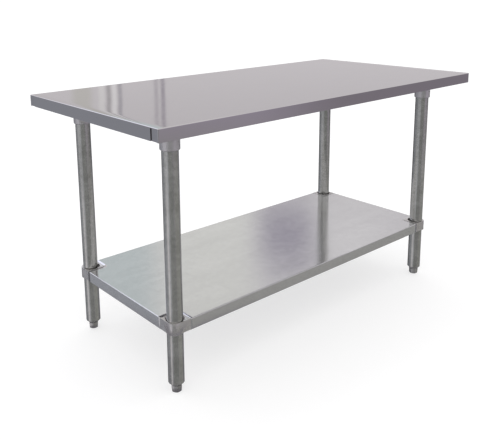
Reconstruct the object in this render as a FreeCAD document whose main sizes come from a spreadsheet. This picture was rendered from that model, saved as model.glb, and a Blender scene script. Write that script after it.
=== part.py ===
import FreeCAD, Part
import os
import re
import Sketcher

# A knock-down work table: stainless top on hat channels, four tube legs in
# sockets, an undershelf that slides on the legs, and four levelling feet.
# The origin is on the floor under the middle of the top.  X runs along the
# table, -Y is the front, Z is up.  All sizes are millimetres.

SIZES = {
    # overall
    "top_length": (1524.0, "work surface, left to right"),
    "top_depth": (762.0, "work surface, front to back"),
    "table_height": (863.6, "floor to work surface"),
    # top sheet
    "top_gauge": (1.5, "stainless sheet thickness"),
    "top_edge": (38.1, "height of the turned-down edge"),
    "top_lip": (12.7, "width of the lip returned under the edge"),
    "top_corner": (3.0, "plan radius of the top's corners"),
    "top_bend": (2.0, "outer bend radius along the top's edges"),
    "lap_distance": (34.0, "corner to the seam of the edge lapped round it"),
    "lap_gap": (2.4, "width of that seam"),
    # hat channels and deadening strips
    "strip_thickness": (1.6, "sound-deadening strip"),
    "channel_gauge": (1.5, "hat channel sheet thickness"),
    "channel_drop": (25.4, "hat channel depth"),
    "channel_flange": (16.0, "hat channel flange width"),
    "web_margin": (2.0, "socket plate to the edge of the cross channel's web"),
    "centre_web": (64.0, "web width of the centre channel"),
    "cross_end_gap": (4.0, "cross channel end to the lip"),
    "centre_end_gap": (2.0, "centre channel end to the cross channel"),
    # fasteners between the channels and the top
    "stud_diameter": (6.0, "weld stud"),
    "stud_spare": (3.0, "stud length past its nut"),
    "stud_nut_width": (10.0, "stud nut across flats"),
    "stud_nut_height": (5.0, "stud nut height"),
    "stud_end_distance": (30.0, "last stud to the end of its channel"),
    # leg sockets
    "leg_inset": (127.0, "leg axis to the edge of the top"),
    "socket_wall": (4.45, "leg socket wall"),
    "socket_show": (60.5, "socket length seen below the top's edge"),
    "socket_chamfer": (2.0, "chamfer round the socket's mouth"),
    "plate_margin": (12.0, "bolt to the edge of the square socket plate"),
    "plate_thickness": (3.0, "socket plate"),
    "bolt_offset": (38.0, "plate bolt from the leg axis, each way"),
    "bolt_diameter": (8.0, "plate bolt"),
    "bolt_head_width": (13.0, "bolt head and nut across flats"),
    "bolt_head_height": (5.0, "bolt head"),
    "bolt_nut_height": (6.5, "bolt nut"),
    "bolt_spare": (2.5, "bolt length past its nut"),
    "hole_clearance": (0.4, "hole radius over a fastener's radius"),
    # legs
    "leg_diameter": (50.8, "leg tube outside"),
    "leg_wall": (1.6, "leg tube wall"),
    "slide_clearance": (0.3, "radial gap round a leg in socket and bracket"),
    # set screws
    "screw_diameter": (8.0, "socket-head set screw"),
    "screw_length": (9.0, "set screw length"),
    "screw_key": (4.0, "hexagon key size across flats"),
    "screw_key_depth": (4.0, "depth of the hexagon recess"),
    "screw_fit": (0.1, "radial gap round a set screw"),
    "socket_screw_rise": (22.0, "set screw above the socket's mouth"),
    # undershelf
    "shelf_height": (238.0, "floor to the shelf's surface"),
    "shelf_gauge": (1.2, "shelf sheet thickness"),
    "shelf_edge": (38.1, "height of the shelf's turned-down edge"),
    "shelf_lip": (10.0, "width of the lip returned under the edge"),
    "shelf_bend": (1.6, "outer bend radius along the shelf's edges"),
    "stiffener_web": (60.0, "web width of the shelf's hat channel"),
    "stiffener_drop": (20.0, "depth of the shelf's hat channel"),
    # corner brackets of the shelf
    "bracket_sleeve": (3.3, "wall of the sleeve round the leg"),
    "notch_more_along": (9.5, "notch beyond the bracket's sleeve, along the shelf"),
    "notch_more_across": (5.0, "notch beyond the bracket's sleeve, across the shelf"),
    "bracket_corner": (20.0, "radius of the bracket's outer corner"),
    "void_gap": (3.8, "radial gap above the bracket's sleeve, round the leg"),
    "void_offset": (2.6, "that gap's centre, from the leg axis towards the middle, each way"),
    "void_depth": (12.0, "top of the bracket down to its sleeve"),
    "void_wall": (1.5, "wall of the boss round that gap"),
    "wing_rise": (2.0, "bottom of the shelf up to that of a bracket's side wall"),
    "bracket_plate": (4.0, "bracket top plate"),
    "bracket_wing": (4.4, "bracket side wall"),
    "tongue_length": (14.0, "tongue behind the shelf's edge"),
    "tongue_margin": (5.0, "tongue to the top and bottom of the edge"),
    # feet
    "foot_height": (22.0, "foot below its insert, screwed in"),
    "foot_width": (31.5, "foot across flats at its top"),
    "foot_taper": (4.0, "slope of the foot's flats in degrees"),
    "foot_pad": (20.0, "flat face on the floor, diameter"),
    "foot_round": (5.5, "height of the rounded tip"),
    "foot_travel": (25.0, "how far a foot screws out"),
    "foot_gap": (0.3, "foot to its insert, screwed in"),
    "stem_diameter": (12.7, "threaded stem"),
    "stem_length": (44.0, "stem above the foot"),
    "stem_clearance": (0.3, "radial gap round the stem"),
    "insert_shoulder": (11.0, "height of the insert's cone below the leg"),
    "insert_mouth": (34.0, "insert diameter at its lower end"),
    "insert_plug": (32.0, "insert length inside the leg"),
    "insert_clearance": (0.15, "radial gap between plug and leg"),
}

# Sizes worked out from the ones above, as expressions.
DERIVED = {
    "leg_x": "top_length / 2 - leg_inset",
    "leg_y": "top_depth / 2 - leg_inset",
    "top_underside": "table_height - top_gauge",
    "top_bottom": "table_height - top_edge",
    "flange_top": "top_underside - strip_thickness",
    "flange_bottom": "flange_top - channel_gauge",
    "web_bottom": "flange_top - channel_drop",
    "plate_bottom": "web_bottom - plate_thickness",
    "socket_bottom": "top_bottom - socket_show",
    "plate_half": "bolt_offset + plate_margin",
    "cross_half_web": "plate_half + web_margin",
    "cross_half_width": "cross_half_web + channel_flange",
    "cross_half_length": "top_depth / 2 - top_lip - cross_end_gap",
    "cross_stud_x": "cross_half_web + channel_flange / 2",
    "centre_half_length": "leg_x - cross_half_width - centre_end_gap",
    "centre_stud_y": "centre_web / 2 + channel_flange / 2",
    "leg_bore": "leg_diameter / 2 + slide_clearance",
    "socket_radius": "leg_bore + socket_wall",
    "leg_inside": "leg_diameter / 2 - leg_wall",
    "shoulder_bottom": "foot_height + foot_gap",
    "leg_bottom": "shoulder_bottom + insert_shoulder",
    "bracket_radius": "leg_bore + bracket_sleeve",
    "notch_along": "bracket_radius + notch_more_along",
    "notch_across": "bracket_radius + notch_more_across",
    "void_radius": "leg_bore + void_gap",
    "shelf_half_length": "leg_x + bracket_radius",
    "shelf_half_depth": "leg_y + bracket_radius",
    "shelf_bottom": "shelf_height - shelf_edge",
    "shelf_underside": "shelf_height - shelf_gauge",
    "shelf_channel_half": "shelf_half_length - shelf_lip - shelf_gauge",
    "bracket_screw": "shelf_height - bracket_plate - (shelf_edge - bracket_plate) / 2",
    "stud_bottom": "flange_bottom - stud_nut_height - stud_spare",
    "bolt_top": "web_bottom + channel_gauge + bolt_nut_height + bolt_spare",
}

# Corner name, side along X, side along Y, and the quarter turns that take a
# front-left piece to that corner.
CORNERS = (
    ("front_left", -1, -1, 0),
    ("front_right", 1, -1, 90),
    ("rear_right", 1, 1, 180),
    ("rear_left", -1, 1, 270),
)

CROSS_STUDS = 3  # studs in a row on a cross channel's flange
CENTRE_STUDS = 4  # studs in a row on the centre channel's flange

document = FreeCAD.newDocument("WorkTable")
nodes = []


def make_sheet():
    """Write the driving sizes into the spreadsheet, one row each."""
    sheet = document.addObject("Spreadsheet::Sheet", "Sizes")
    for row, (alias, (value, note)) in enumerate(SIZES.items(), start=1):
        sheet.set(f"A{row}", alias)
        sheet.set(f"B{row}", str(value))
        sheet.setAlias(f"B{row}", alias)
        sheet.set(f"C{row}", note)
    document.recompute()


def formula(text):
    """Turn plain size names into references to the spreadsheet."""
    def reference(match):
        word = match.group()
        if word in DERIVED:
            return "(" + formula(DERIVED[word]) + ")"
        return "Sizes." + word if word in SIZES else word
    return re.sub(r"[a-z][a-z_]*", reference, str(text))


def bind(thing, **sizes):
    """Bind properties of a document object to formulas."""
    for name, text in sizes.items():
        thing.setExpression(name, formula(text))
    return thing


def put(thing, x="0", y="0", z="0", turn=0):
    """Place a document object by formulas, turned about the vertical."""
    thing.Placement = FreeCAD.Placement(FreeCAD.Vector(),
                                        FreeCAD.Rotation(FreeCAD.Vector(0, 0, 1), turn))
    for axis, text in (("x", x), ("y", y), ("z", z)):
        thing.setExpression("Placement.Base." + axis, formula(text))
    return thing


def node(thing, label):
    """Name a finished piece and list it for export."""
    thing.Label = label
    nodes.append(thing)
    return thing


# ---------------------------------------------------------------- Part pieces

def box(x, y, z, length, width, height):
    """A box from its low corner."""
    solid = document.addObject("Part::Box", "Box")
    return put(bind(solid, Length=length, Width=width, Height=height), x, y, z)


def cylinder(radius, height, x="0", y="0", z="0"):
    """An upright cylinder from the centre of its lower face."""
    solid = document.addObject("Part::Cylinder", "Cylinder")
    return put(bind(solid, Radius=radius, Height=height), x, y, z)


def hexagon(width, height, x="0", y="0", z="0"):
    """An upright hexagonal prism, given across its flats."""
    solid = document.addObject("Part::Prism", "Prism")
    solid.Polygon = 6
    return put(bind(solid, Circumradius=f"({width}) / 2 / cos(30)", Height=height), x, y, z)


def fuse(*parts):
    """One solid from several."""
    joined = document.addObject("Part::MultiFuse", "Fuse")
    joined.Shapes = list(parts)
    return joined


def cut(base, tool):
    """The base less the tool."""
    left = document.addObject("Part::Cut", "Cut")
    left.Base = base
    left.Tool = tool
    return left


def group(parts):
    """Several separate solids kept as one piece."""
    together = document.addObject("Part::Compound", "Group")
    together.Links = list(parts)
    return together


# ----------------------------------------------------------- PartDesign pieces

def new_body(label):
    """An empty body that will be exported under its label."""
    return node(document.addObject("PartDesign::Body", "Body"), label)


def sketch(body, role, offset="0"):
    """An empty sketch on one of the body's own origin planes."""
    plane = next(item for item in body.Origin.OriginFeatures if item.Role == role)
    drawing = body.newObject("Sketcher::SketchObject", "Sketch")
    drawing.AttachmentSupport = (plane, [""])
    drawing.MapMode = "FlatFace"
    drawing.setExpression("AttachmentOffset.Base.z", formula(offset))
    return drawing


def size_constraint(drawing, kind, references, text):
    """A sketch dimension bound to a formula."""
    index = drawing.addConstraint(Sketcher.Constraint(kind, *references, 1.0))
    drawing.setExpression(f"Constraints[{index}]", formula(text))


def outline(drawing, points):
    """A closed outline of straight lines through points given as formulas."""
    count = len(points)
    spread = [FreeCAD.Rotation(FreeCAD.Vector(0, 0, 1), 360 * step / count).multVec(
        FreeCAD.Vector(1, 0, 0)) for step in range(count)]
    first = drawing.GeometryCount
    for step in range(count):
        line = Part.LineSegment(spread[step], spread[(step + 1) % count])
        drawing.addGeometry(line, False)
    for step, (x, y) in enumerate(points):
        here = first + step
        before = first + (step - 1) % count
        drawing.addConstraint(Sketcher.Constraint("Coincident", before, 2, here, 1))
        size_constraint(drawing, "DistanceX", (-1, 1, here, 1), x)
        size_constraint(drawing, "DistanceY", (-1, 1, here, 1), y)


def rectangle(drawing, half_x, half_y):
    """A rectangle about the origin."""
    outline(drawing, [(f"-({half_x})", f"-({half_y})"), (half_x, f"-({half_y})"),
                      (half_x, half_y), (f"-({half_x})", half_y)])


def circle(drawing, radius, x="0", y="0"):
    """A circle with its centre given as formulas."""
    shape = Part.Circle(FreeCAD.Vector(1, 1, 0), FreeCAD.Vector(0, 0, 1), 1)
    index = drawing.addGeometry(shape, False)
    size_constraint(drawing, "DistanceX", (-1, 1, index, 3), x)
    size_constraint(drawing, "DistanceY", (-1, 1, index, 3), y)
    size_constraint(drawing, "Radius", (index,), radius)


def pad(body, drawing, length, midplane=False, reverse=False, taper=None):
    """Add material from a sketch."""
    feature = body.newObject("PartDesign::Pad", "Pad")
    feature.Profile = drawing
    feature.Midplane = midplane
    feature.Reversed = reverse
    bind(feature, Length=length)
    if taper:
        bind(feature, TaperAngle=taper)
    return feature


def pocket(body, drawing, length, upward=False):
    """Cut from a sketch, along or against its normal, and check that it cut."""
    document.recompute()
    volume = body.Shape.Volume
    feature = body.newObject("PartDesign::Pocket", "Pocket")
    feature.Profile = drawing
    feature.Reversed = upward
    bind(feature, Length=length)
    document.recompute()
    if not body.Shape.Volume < volume:
        raise RuntimeError(f"a pocket of {body.Label} cuts nothing")
    return feature


def dress(body, kind, size, wanted):
    """Fillet or chamfer the edges that the test function picks."""
    document.recompute()
    base = body.Tip
    names = [f"Edge{number}" for number, edge in enumerate(base.Shape.Edges, start=1)
             if wanted(edge, base.Shape.BoundBox)]
    feature = body.newObject("PartDesign::" + kind, kind)
    feature.Base = (base, names)
    bind(feature, **{"Radius" if kind == "Fillet" else "Size": size})
    return feature


def near(first, second):
    """Whether two lengths agree."""
    return abs(first - second) < 0.001


def is_corner(edge, bounds):
    """An upright edge at a corner of the piece's box."""
    middle = edge.BoundBox.Center
    upright = near(edge.BoundBox.XLength, 0) and near(edge.BoundBox.YLength, 0)
    at_x = near(middle.x, bounds.XMin) or near(middle.x, bounds.XMax)
    at_y = near(middle.y, bounds.YMin) or near(middle.y, bounds.YMax)
    return upright and at_x and at_y


def is_bracket_corner(edge, bounds):
    """The upright edge where the piece's box has its least X and Y."""
    middle = edge.BoundBox.Center
    upright = near(edge.BoundBox.XLength, 0) and near(edge.BoundBox.YLength, 0)
    return upright and near(middle.x, bounds.XMin) and near(middle.y, bounds.YMin)


def is_top_rim(edge, bounds):
    """An edge of the top face that lies along the outside of the piece's box."""
    box_of = edge.BoundBox
    level = near(box_of.ZMin, bounds.ZMax)
    along_x = near(box_of.YLength, 0) and (near(box_of.YMin, bounds.YMin)
                                           or near(box_of.YMax, bounds.YMax))
    along_y = near(box_of.XLength, 0) and (near(box_of.XMin, bounds.XMin)
                                           or near(box_of.XMax, bounds.XMax))
    return level and (along_x or along_y)


def is_outer_rim(edge, bounds):
    """Any edge round the top face, its corner arcs included."""
    box_of = edge.BoundBox
    level = near(box_of.ZMin, bounds.ZMax) and near(box_of.ZMax, bounds.ZMax)
    at_x = near(box_of.XMin, bounds.XMin) or near(box_of.XMax, bounds.XMax)
    at_y = near(box_of.YMin, bounds.YMin) or near(box_of.YMax, bounds.YMax)
    return level and (at_x or at_y)


def is_mouth(edge, bounds):
    """The outer circle at the lower end of an upright sleeve."""
    box_of = edge.BoundBox
    level = near(box_of.ZMin, bounds.ZMin) and near(box_of.ZMax, bounds.ZMin)
    return level and near(box_of.XLength, bounds.XLength) and near(box_of.YLength, bounds.YLength)


# ------------------------------------------------------------------ top sheet

def pan(body, half_x, half_y, bottom, edge, gauge, lip):
    """Hollow a block into a sheet pan with a lip returned under its edge."""
    mouth = sketch(body, "XY_Plane", bottom)
    rectangle(mouth, f"{half_x} - {lip}", f"{half_y} - {lip}")
    pocket(body, mouth, gauge, upward=True)
    hollow = sketch(body, "XY_Plane", f"{bottom} + {gauge}")
    rectangle(hollow, f"{half_x} - {gauge}", f"{half_y} - {gauge}")
    pocket(body, hollow, f"{edge} - 2 * {gauge}", upward=True)


def make_top_sheet():
    """The stainless top: one sheet, edges turned down and lapped at the corners."""
    body = new_body("top_sheet")
    plan = sketch(body, "XY_Plane", "top_bottom")
    rectangle(plan, "top_length / 2", "top_depth / 2")
    pad(body, plan, "top_edge")
    dress(body, "Fillet", "top_corner", is_corner)
    pan(body, "top_length / 2", "top_depth / 2", "top_bottom", "top_edge", "top_gauge", "top_lip")
    dress(body, "Fillet", "top_bend", is_outer_rim)
    seams = sketch(body, "YZ_Plane", "top_length / 2")
    high = "table_height - 2 * top_bend"
    for side in ("-1", "1"):
        middle = f"{side} * (top_depth / 2 - lap_distance)"
        outline(seams, [(f"{middle} - lap_gap / 2", "top_bottom"),
                        (f"{middle} + lap_gap / 2", "top_bottom"),
                        (f"{middle} + lap_gap / 2", high),
                        (f"{middle} - lap_gap / 2", high)])
    seam_cut = pocket(body, seams, "top_gauge / 2")
    other_end = body.newObject("PartDesign::Mirrored", "OtherEnd")
    other_end.Originals = [seam_cut]
    plane = next(item for item in body.Origin.OriginFeatures if item.Role == "YZ_Plane")
    other_end.MirrorPlane = (plane, [""])
    body.Tip = other_end


# --------------------------------------------------- channels under the top

def hat_profile(drawing, half_web, flange, high, drop, gauge):
    """The section of a hat channel, flanges up and web down."""
    low = f"{high} - {drop}"
    half = [
        (f"{half_web} + {flange}", high),
        (f"{half_web} + {flange}", f"{high} - {gauge}"),
        (half_web, f"{high} - {gauge}"),
        (half_web, low),
    ]
    inner = [(f"{half_web} - {gauge}", f"{low} + {gauge}"), (f"{half_web} - {gauge}", high)]
    outline(drawing,
            half
            + [(f"-({x})", y) for x, y in reversed(half)]
            + [(f"-({x})", y) for x, y in reversed(inner)]
            + inner)


def spread_out(half_length, count):
    """Evenly spaced places along a channel, the last ones near its ends."""
    return [f"({half_length} - stud_end_distance) * {2 * step / (count - 1) - 1}"
            for step in range(count)]


def make_cross_channel(label, side):
    """A hat channel from front to back over two sockets, drilled for its bolts and studs."""
    body = new_body(label)
    section = sketch(body, "XZ_Plane")
    hat_profile(section, "cross_half_web", "channel_flange", "flange_top", "channel_drop",
                "channel_gauge")
    pad(body, section, "2 * cross_half_length", midplane=True)
    bolt_holes = sketch(body, "XY_Plane", "web_bottom")
    for leg_side in (-1, 1):
        for x, y in bolt_places():
            circle(bolt_holes, "bolt_diameter / 2 + hole_clearance", x, f"{leg_side} * leg_y + {y}")
    pocket(body, bolt_holes, "channel_gauge", upward=True)
    stud_holes = sketch(body, "XY_Plane", "flange_top")
    for x in ("-1", "1"):
        for y in spread_out("cross_half_length", CROSS_STUDS):
            circle(stud_holes, "stud_diameter / 2 + hole_clearance", f"{x} * cross_stud_x", y)
    pocket(body, stud_holes, "channel_gauge")
    put(body, x=f"{side} * leg_x")


def make_centre_channel():
    """The hat channel along the middle, between the two cross channels."""
    body = new_body("centre_channel")
    section = sketch(body, "YZ_Plane")
    hat_profile(section, "centre_web / 2", "channel_flange", "flange_top", "channel_drop",
                "channel_gauge")
    pad(body, section, "2 * centre_half_length", midplane=True)
    stud_holes = sketch(body, "XY_Plane", "flange_top")
    for y in ("-1", "1"):
        for x in spread_out("centre_half_length", CENTRE_STUDS):
            circle(stud_holes, "stud_diameter / 2 + hole_clearance", x, f"{y} * centre_stud_y")
    pocket(body, stud_holes, "channel_gauge")


def cross_stud_places(side):
    """Stud centres over one cross channel."""
    return [(f"{side} * leg_x + {flange} * cross_stud_x", y) for flange in (-1, 1)
            for y in spread_out("cross_half_length", CROSS_STUDS)]


def centre_stud_places():
    """Stud centres over the centre channel."""
    return [(x, f"{flange} * centre_stud_y") for flange in (-1, 1)
            for x in spread_out("centre_half_length", CENTRE_STUDS)]


def strip(x, y, length, width, holes):
    """A deadening strip on a channel flange, punched for its studs."""
    blank = box(x, y, "flange_top", length, width, "strip_thickness")
    drills = [cylinder("stud_diameter / 2 + hole_clearance", "3 * strip_thickness",
                       hole_x, hole_y, "flange_top - strip_thickness") for hole_x, hole_y in holes]
    return cut(blank, group(drills))


def make_strips():
    """Two strips over each channel, one to a flange."""
    for name, side in (("left", -1), ("right", 1)):
        places = cross_stud_places(side)
        pair = []
        for flange, holes in ((-1, places[:CROSS_STUDS]), (1, places[CROSS_STUDS:])):
            low_x = f"{side} * leg_x + {flange} * cross_stud_x - channel_flange / 2"
            pair.append(strip(low_x, "-cross_half_length", "channel_flange",
                              "2 * cross_half_length", holes))
        node(group(pair), f"deadening_strips_{name}")
    places = centre_stud_places()
    pair = []
    for flange, holes in ((-1, places[:CENTRE_STUDS]), (1, places[CENTRE_STUDS:])):
        low_y = f"{flange} * centre_stud_y - channel_flange / 2"
        pair.append(strip("-centre_half_length", low_y, "2 * centre_half_length",
                          "channel_flange", holes))
    node(group(pair), "deadening_strips_centre")


def make_studs():
    """Weld studs down from the top sheet, and their nuts under the flanges."""
    places = cross_stud_places(-1) + cross_stud_places(1) + centre_stud_places()
    studs = [cylinder("stud_diameter / 2", "top_underside - stud_bottom", x, y, "stud_bottom")
             for x, y in places]
    node(group(studs), "weld_studs")
    nuts = [cut(hexagon("stud_nut_width", "stud_nut_height", x, y,
                        "flange_bottom - stud_nut_height"),
                cylinder("stud_diameter / 2 + screw_fit", "3 * stud_nut_height", x, y,
                         "flange_bottom - 2 * stud_nut_height"))
            for x, y in places]
    node(group(nuts), "stud_nuts")


# ------------------------------------------------------- leg sockets and legs

def bolt_places():
    """The four plate bolts about a leg axis."""
    return [(f"{x} * bolt_offset", f"{y} * bolt_offset") for x in (-1, 1) for y in (-1, 1)]


def make_socket(corner, side_x, side_y, turn):
    """A square plate and the sleeve welded under it."""
    plate = new_body(f"socket_plate_{corner}")
    face = sketch(plate, "XY_Plane", "plate_bottom")
    rectangle(face, "plate_half", "plate_half")
    for x, y in bolt_places():
        circle(face, "bolt_diameter / 2 + hole_clearance", x, y)
    pad(plate, face, "plate_thickness")
    put(plate, f"{side_x} * leg_x", f"{side_y} * leg_y", turn=turn)

    sleeve = new_body(f"leg_socket_{corner}")
    ring = sketch(sleeve, "XY_Plane", "socket_bottom")
    circle(ring, "socket_radius")
    circle(ring, "leg_bore")
    pad(sleeve, ring, "plate_bottom - socket_bottom")
    dress(sleeve, "Chamfer", "socket_chamfer", is_mouth)
    side_hole(sleeve, "socket_bottom + socket_screw_rise", "2 * socket_radius")
    put(sleeve, f"{side_x} * leg_x", f"{side_y} * leg_y", turn=turn)


def side_hole(body, height, reach):
    """A hole for a set screw, from the leg axis out towards +X."""
    hole = sketch(body, "YZ_Plane")
    circle(hole, "screw_diameter / 2 + screw_fit", "0", height)
    pocket(body, hole, reach, upward=True)


def make_plate_bolts():
    """Hexagon bolts up through the socket plates, nuts inside the channels."""
    bolts = []
    nuts = []
    for _, side_x, side_y, _ in CORNERS:
        for x, y in bolt_places():
            here = (f"{side_x} * leg_x + {x}", f"{side_y} * leg_y + {y}")
            head = hexagon("bolt_head_width", "bolt_head_height", *here,
                           "plate_bottom - bolt_head_height")
            shank = cylinder("bolt_diameter / 2", "bolt_top - plate_bottom", *here, "plate_bottom")
            bolts.append(fuse(head, shank))
            nut = hexagon("bolt_head_width", "bolt_nut_height", *here,
                          "web_bottom + channel_gauge")
            bore = cylinder("bolt_diameter / 2 + screw_fit", "3 * bolt_nut_height", *here,
                            "web_bottom - bolt_nut_height")
            nuts.append(cut(nut, bore))
    node(group(bolts), "plate_bolts")
    node(group(nuts), "plate_nuts")


def make_leg(corner, side_x, side_y):
    """A round tube from the foot insert up to the socket plate."""
    here = (f"{side_x} * leg_x", f"{side_y} * leg_y")
    tube = cylinder("leg_diameter / 2", "plate_bottom - leg_bottom", *here, "leg_bottom")
    bore = cylinder("leg_inside", "table_height", *here, "0")
    node(cut(tube, bore), f"leg_{corner}")


def set_screw(distance, height, side_x, side_y, turn):
    """A set screw with its tip at a distance from a leg's axis, its key recess outwards."""
    shank = cylinder("screw_diameter / 2", "screw_length")
    recess = hexagon("screw_key", "2 * screw_key_depth", z="screw_length - screw_key_depth")
    screw = cut(shank, recess)
    across = FreeCAD.Rotation(FreeCAD.Vector(0, 0, 1), turn).multiply(
        FreeCAD.Rotation(FreeCAD.Vector(0, 1, 0), 90))
    outward = across.multVec(FreeCAD.Vector(0, 0, 1))
    screw.Placement = FreeCAD.Placement(FreeCAD.Vector(), across)
    screw.setExpression("Placement.Base.x",
                        formula(f"{side_x} * leg_x + {round(outward.x)} * ({distance})"))
    screw.setExpression("Placement.Base.y",
                        formula(f"{side_y} * leg_y + {round(outward.y)} * ({distance})"))
    screw.setExpression("Placement.Base.z", formula(height))
    return screw


def make_set_screws():
    """One set screw to each socket and one to each shelf bracket."""
    reach = "leg_diameter / 2 + slide_clearance"
    heights = {"socket_set_screws": "socket_bottom + socket_screw_rise",
               "bracket_set_screws": "bracket_screw"}
    for label, height in heights.items():
        node(group([set_screw(reach, height, side_x, side_y, turn)
                    for _, side_x, side_y, turn in CORNERS]), label)


# ------------------------------------------------------------------ undershelf

def make_undershelf():
    """The shelf: a galvanised pan with a square notch at each corner."""
    body = new_body("undershelf")
    plan = sketch(body, "XY_Plane", "shelf_bottom")
    notch_x = "leg_x - notch_along"
    notch_y = "leg_y - notch_across"
    quarter = [("shelf_half_length", notch_y), (notch_x, notch_y), (notch_x, "shelf_half_depth")]
    left = [(f"-({x})", y) for x, y in reversed(quarter)]
    top_half = quarter + left
    outline(plan, top_half + [(x, f"-({y})") for x, y in reversed(top_half)])
    pad(body, plan, "shelf_edge")
    dress(body, "Fillet", "shelf_bend", is_top_rim)
    pan(body, "shelf_half_length", "shelf_half_depth", "shelf_bottom", "shelf_edge",
        "shelf_gauge", "shelf_lip")


def make_shelf_channel():
    """The hat channel welded along the middle of the shelf's underside."""
    body = new_body("shelf_channel")
    section = sketch(body, "YZ_Plane")
    hat_profile(section, "stiffener_web / 2", "channel_flange", "shelf_underside",
                "stiffener_drop", "shelf_gauge")
    pad(body, section, "2 * shelf_channel_half", midplane=True)


def make_bracket(corner, side_x, side_y, turn):
    """A cast bracket: a sleeve on the leg, side walls and a plate in the notch."""
    body = new_body(f"shelf_bracket_{corner}")
    reaches = ("notch_along", "notch_across")
    reach_x, reach_y = reaches if turn % 180 == 0 else reversed(reaches)
    block = sketch(body, "XY_Plane", "shelf_bottom")
    outline(block, [("-bracket_radius", "-bracket_radius"), ("0", "-bracket_radius"),
                     ("0", "0"), ("-bracket_radius", "0")])
    pad(body, block, "shelf_edge")
    dress(body, "Fillet", "bracket_corner", is_bracket_corner)
    ring = sketch(body, "XY_Plane", "shelf_bottom")
    circle(ring, "bracket_radius")
    pad(body, ring, "shelf_edge")
    boss = sketch(body, "XY_Plane", "shelf_bottom")
    circle(boss, "void_radius + void_wall", "void_offset", "void_offset")
    pad(body, boss, "shelf_edge")
    plate = sketch(body, "XY_Plane", "shelf_height - bracket_plate")
    outline(plate, [("0", "-bracket_radius"), (reach_x, "-bracket_radius"),
                    (reach_x, reach_y), ("-bracket_radius", reach_y),
                    ("-bracket_radius", "0"), ("0", "0")])
    pad(body, plate, "bracket_plate")
    tongue_low = "shelf_bottom + tongue_margin"
    tongue_height = "shelf_edge - 2 * tongue_margin"
    walls = sketch(body, "XY_Plane", "shelf_bottom + wing_rise")
    tongues = sketch(body, "XY_Plane", tongue_low)
    for reach, turned in ((reach_x, False), (reach_y, True)):
        wall = [("0", "-bracket_radius"), (reach, "-bracket_radius"),
                (reach, "bracket_wing - bracket_radius"),
                ("0", "bracket_wing - bracket_radius")]
        tongue = [(f"{reach} - 1", "shelf_gauge - bracket_radius"),
                  (f"{reach} + tongue_length", "shelf_gauge - bracket_radius"),
                  (f"{reach} + tongue_length", "bracket_wing - bracket_radius"),
                  (f"{reach} - 1", "bracket_wing - bracket_radius")]
        outline(walls, [(y, x) for x, y in wall] if turned else wall)
        outline(tongues, [(y, x) for x, y in tongue] if turned else tongue)
    pad(body, walls, "shelf_edge - wing_rise")
    pad(body, tongues, tongue_height)
    bore = sketch(body, "XY_Plane", "shelf_bottom")
    circle(bore, "leg_bore")
    pocket(body, bore, "shelf_edge", upward=True)
    void = sketch(body, "XY_Plane", "shelf_height - void_depth")
    circle(void, "void_radius", "void_offset", "void_offset")
    pocket(body, void, "void_depth", upward=True)
    side_hole(body, "bracket_screw", reach_x)
    put(body, f"{side_x} * leg_x", f"{side_y} * leg_y", turn=turn)


# ------------------------------------------------------------------------ feet

def make_insert(corner, side_x, side_y):
    """The plug pressed into the leg, with a cone below and a tapped hole."""
    body = new_body(f"foot_insert_{corner}")
    section = sketch(body, "XZ_Plane")
    plug = "leg_inside - insert_clearance"
    outline(section, [
        ("stem_diameter / 2 + stem_clearance", "shoulder_bottom"),
        ("insert_mouth / 2", "shoulder_bottom"),
        ("leg_diameter / 2", "leg_bottom - 1"),
        ("leg_diameter / 2", "leg_bottom"),
        (plug, "leg_bottom"),
        (plug, "leg_bottom + insert_plug"),
        ("stem_diameter / 2 + stem_clearance", "leg_bottom + insert_plug"),
    ])
    turned = body.newObject("PartDesign::Revolution", "Revolution")
    turned.Profile = section
    turned.ReferenceAxis = (section, ["V_Axis"])
    turned.Angle = 360
    put(body, f"{side_x} * leg_x", f"{side_y} * leg_y")


def make_foot(corner, side_x, side_y):
    """A tapered hexagon foot with a rounded tip, on a threaded stem."""
    body = new_body(f"foot_{corner}")
    flats = sketch(body, "XY_Plane", "foot_height")
    reach = "(foot_width / 2 / cos(30))"
    outline(flats, [(f"{reach} * cos({60 * step})", f"{reach} * sin({60 * step})")
                    for step in range(6)])
    pad(body, flats, "foot_height", reverse=True, taper="-foot_taper")
    stem = sketch(body, "XY_Plane", "foot_height")
    circle(stem, "stem_diameter / 2")
    pad(body, stem, "stem_length")
    document.recompute()
    volume = body.Shape.Volume
    tip = sketch(body, "XZ_Plane")
    outline(tip, [("foot_pad / 2", "0"), ("foot_width", "0"), ("foot_width", "foot_round"),
                  (f"{reach} - foot_round / 4", "foot_round"),
                  ("(foot_pad / 2 + foot_width / 2) / 2", "foot_round / 4")])
    rounding = body.newObject("PartDesign::Groove", "Groove")
    rounding.Profile = tip
    rounding.ReferenceAxis = (tip, ["V_Axis"])
    rounding.Angle = 360
    document.recompute()
    if not body.Shape.Volume < volume:
        raise RuntimeError("the foot's tip was not rounded")
    put(body, f"{side_x} * leg_x", f"{side_y} * leg_y")


# ---------------------------------------------------------------- whole table

def make_table():
    """Every piece of the table, top first."""
    make_top_sheet()
    make_cross_channel("cross_channel_left", -1)
    make_cross_channel("cross_channel_right", 1)
    make_centre_channel()
    make_strips()
    make_studs()
    make_plate_bolts()
    for corner, side_x, side_y, turn in CORNERS:
        make_socket(corner, side_x, side_y, turn)
        make_leg(corner, side_x, side_y)
        make_insert(corner, side_x, side_y)
        make_foot(corner, side_x, side_y)
        make_bracket(corner, side_x, side_y, turn)
    make_set_screws()
    make_undershelf()
    make_shelf_channel()


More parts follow.
